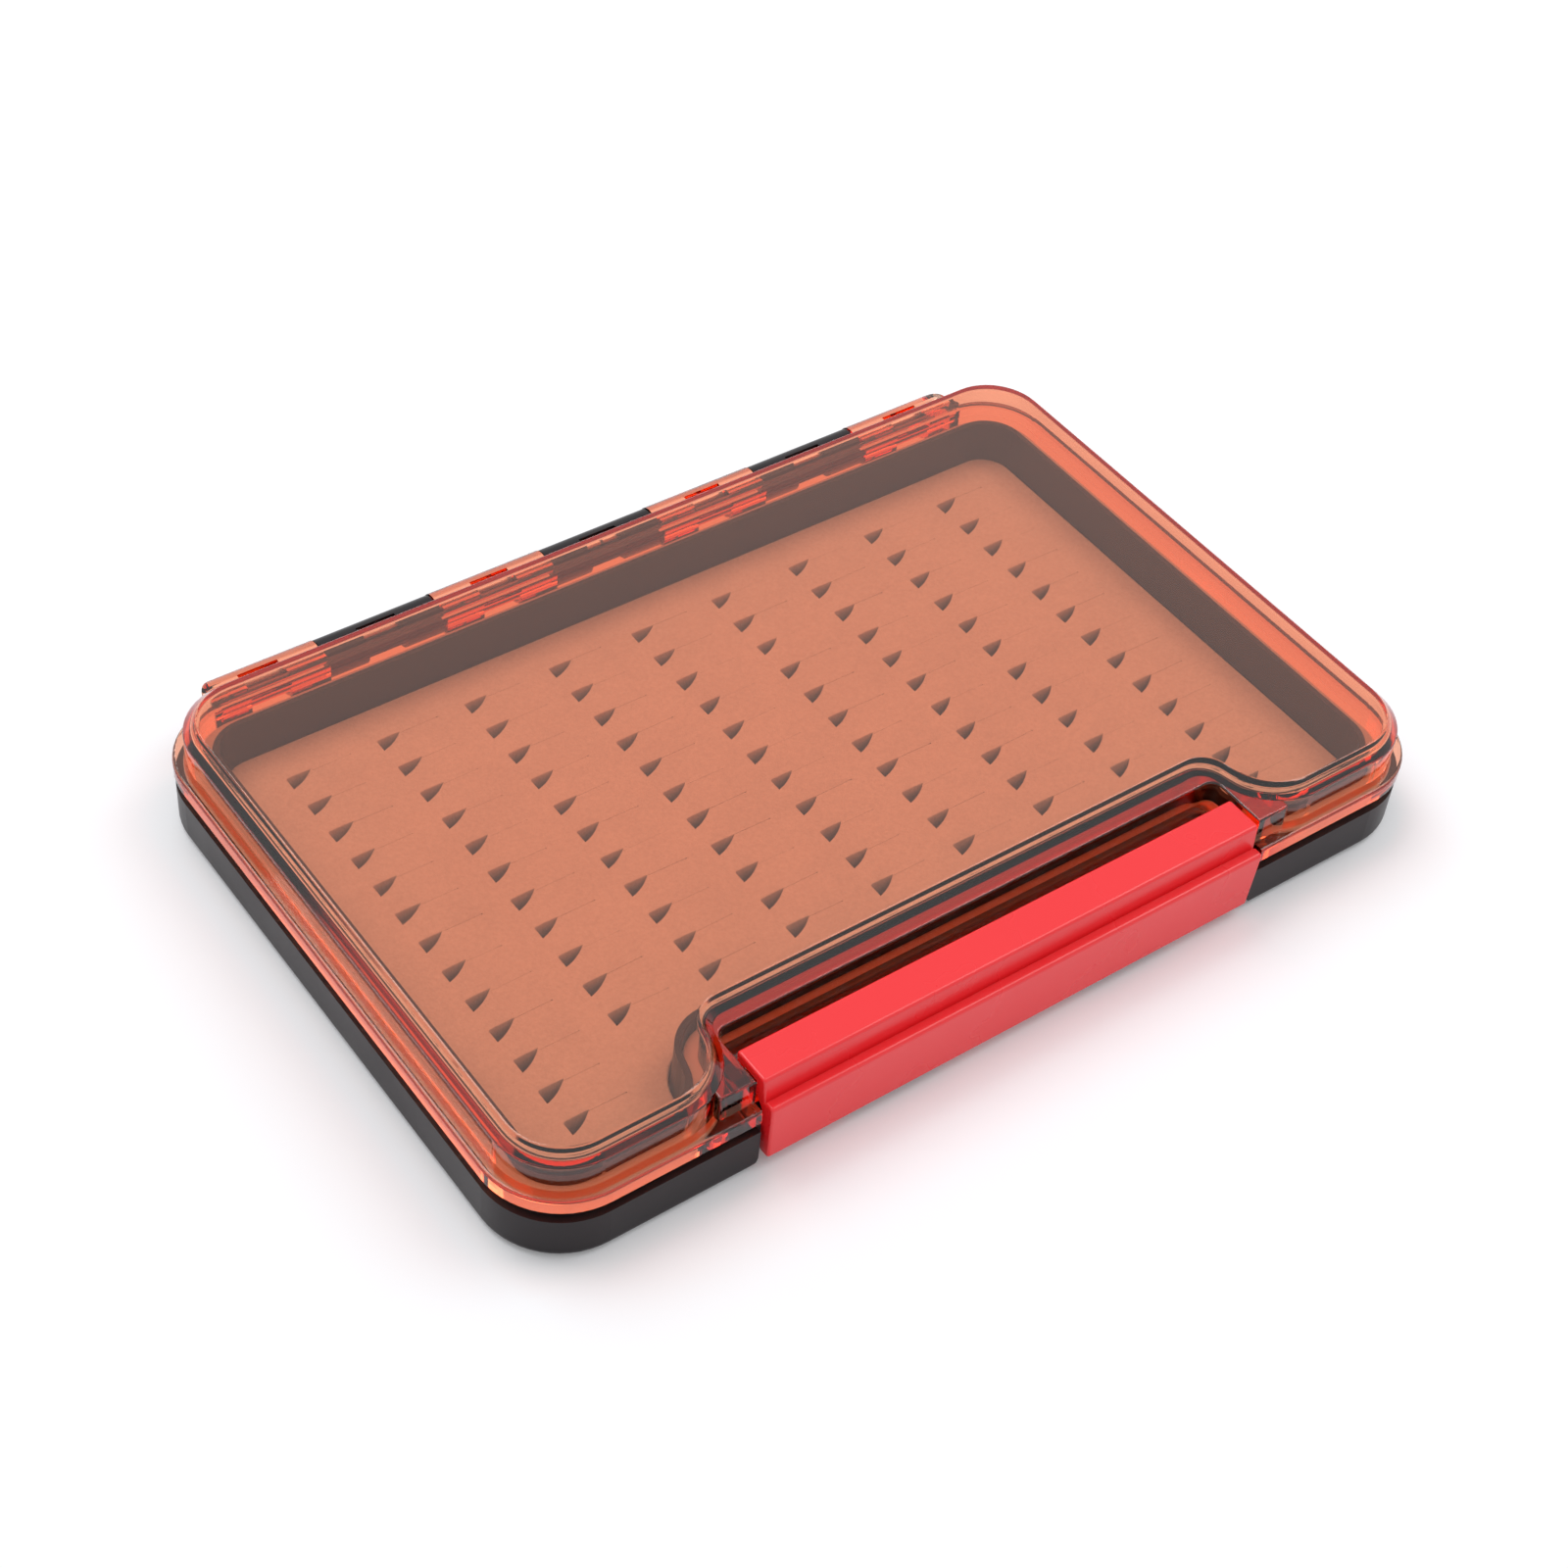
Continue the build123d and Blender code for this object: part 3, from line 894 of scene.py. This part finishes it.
# %% Cuts at the points
def stamped(cutter, seed_shift, least, most):
    """Puts one cutter on every point, each turned and scaled a little, as real mesh."""
    seed = add_node(
        press,
        "ShaderNodeMath",
        {"operation": "ADD"},
        values={1: seed_shift},
        links={0: into.outputs["Seed"]},
    )
    back = add_node(
        press,
        "ShaderNodeMath",
        {"operation": "MULTIPLY"},
        values={1: -1.0},
        links={0: into.outputs["Most turn"]},
    )
    angle = add_node(
        press,
        "FunctionNodeRandomValue",
        {"data_type": "FLOAT"},
        links={2: back.outputs[0], 3: into.outputs["Most turn"], "Seed": seed.outputs[0]},
    )
    spin = add_node(press, "ShaderNodeCombineXYZ", links={"Z": angle.outputs[1]})
    size = add_node(
        press,
        "FunctionNodeRandomValue",
        {"data_type": "FLOAT_VECTOR"},
        values={0: least, 1: most},
        links={"Seed": seed.outputs[0]},
    )
    source = add_node(press, "GeometryNodeObjectInfo", links={"Object": into.outputs[cutter]})
    copies = add_node(
        press,
        "GeometryNodeInstanceOnPoints",
        links={
            "Points": points.outputs[0],
            "Instance": source.outputs["Geometry"],
            "Rotation": spin.outputs[0],
            "Scale": size.outputs[0],
        },
    )
    return add_node(press, "GeometryNodeRealizeInstances", links={0: copies.outputs[0]})


pockets = stamped("Pocket", 0.0, (0.96, 0.94, 1.0), (1.04, 1.04, 1.0))
slits = stamped("Slit", 7.0, (0.9, 0.3, 1.0), (1.06, 1.0, 1.0))
cut_pockets = add_node(
    press,
    "GeometryNodeMeshBoolean",
    {"operation": "DIFFERENCE", "solver": "MANIFOLD"},
    links={0: into.outputs["Slab"], 1: pockets.outputs[0]},
)
cut_slits = add_node(
    press,
    "GeometryNodeMeshBoolean",
    {"operation": "DIFFERENCE", "solver": "MANIFOLD"},
    links={0: cut_pockets.outputs[0], 1: slits.outputs[0]},
)
print("nodes so far:", len(press.nodes))

# %% [markdown]
# The sheet is soft where its faces meet at a small angle and crisp along its cuts. The edges could be marked
# by hand, but a limit on the angle finds them all. The tree ends with the foam's material.

# %% Shading and end of the tree
edge = add_node(press, "GeometryNodeInputMeshEdgeAngle")
crisp = add_node(
    press,
    "FunctionNodeCompare",
    {"operation": "LESS_THAN"},
    values={1: math.radians(32)},
    links={0: edge.outputs["Unsigned Angle"]},
)
all_smooth = add_node(
    press,
    "GeometryNodeSetShadeSmooth",
    {"domain": "FACE"},
    values={"Shade Smooth": True},
    links={"Geometry": cut_slits.outputs[0]},
)
edges_set = add_node(
    press,
    "GeometryNodeSetShadeSmooth",
    {"domain": "EDGE"},
    links={"Geometry": all_smooth.outputs[0], "Shade Smooth": crisp.outputs[0]},
)
solid = add_node(press, "GeometryNodeRealizeInstances", links={0: edges_set.outputs[0]})
dressed = add_node(
    press,
    "GeometryNodeSetMaterial",
    links={"Geometry": solid.outputs[0], "Material": into.outputs["Foam"]},
)
add_node(press, "NodeGroupOutput", links={0: dressed.outputs[0]})
print("nodes in the press:", len(press.nodes))

# %% [markdown]
# The tree runs once on the slab, and the result is kept as a plain mesh, so that nothing live is left on
# the piece.

# %% Press the foam
COLUMNS, ROWS, PITCH_X, PITCH_Y = 9, 13, 12.93, 5.33
FIRST_X, FIRST_Y = -54.02, 32.55
MIDDLE_X = FIRST_X + PITCH_X * (COLUMNS - 1) / 2
MIDDLE_Y = FIRST_Y - PITCH_Y * (ROWS - 1) / 2
NOTCH_HALF_LENGTH = 47.6
ROWS_BEHIND_NOTCH = 11
MOST_TURN = math.radians(1.2)

for mesh in (slab_mesh, pocket_mesh, slit_mesh):
    mesh.materials.append(eva_foam)
blank = bpy.data.objects.new("foam_blank", slab_mesh)
bpy.context.scene.collection.objects.link(blank)
modifier = blank.modifiers.new("press", "NODES")
modifier.node_group = press
for name, value in {
    "Pocket": pocket_cutter,
    "Slit": slit_cutter,
    "Foam": eva_foam,
    "Columns": COLUMNS,
    "Rows": ROWS,
    "Pitch along": PITCH_X * MM,
    "Pitch across": PITCH_Y * MM,
    "Centre": (MIDDLE_X * MM, MIDDLE_Y * MM, 0.0),
    "Notch half length": NOTCH_HALF_LENGTH * MM,
    "Notch line": (FIRST_Y - PITCH_Y * (ROWS_BEHIND_NOTCH - 0.5)) * MM,
    "Most turn": MOST_TURN,
    "Seed": 11,
}.items():
    modifier[sizes[name]] = value

evaluated = blank.evaluated_get(bpy.context.evaluated_depsgraph_get())
foam_mesh = bpy.data.meshes.new_from_object(evaluated)
foam_mesh.name = "pressed_foam"
pressed_foam = bpy.data.objects.new("pressed_foam", foam_mesh)
bpy.context.scene.collection.objects.link(pressed_foam)
bpy.data.objects.remove(blank)
for cutter in (pocket_cutter, slit_cutter):
    bpy.data.objects.remove(cutter)
print(
    "foam:",
    len(foam_mesh.vertices),
    "points,",
    len(foam_mesh.polygons),
    "faces, material",
    [m.name for m in foam_mesh.materials],
)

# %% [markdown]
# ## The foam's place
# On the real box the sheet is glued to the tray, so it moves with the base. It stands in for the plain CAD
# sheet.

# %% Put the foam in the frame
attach(pressed_foam, "base")
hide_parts("slit_foam")
print("foam rides on base")

# %% [markdown]
# ## End

# %% Finish
print("end of the scene script")
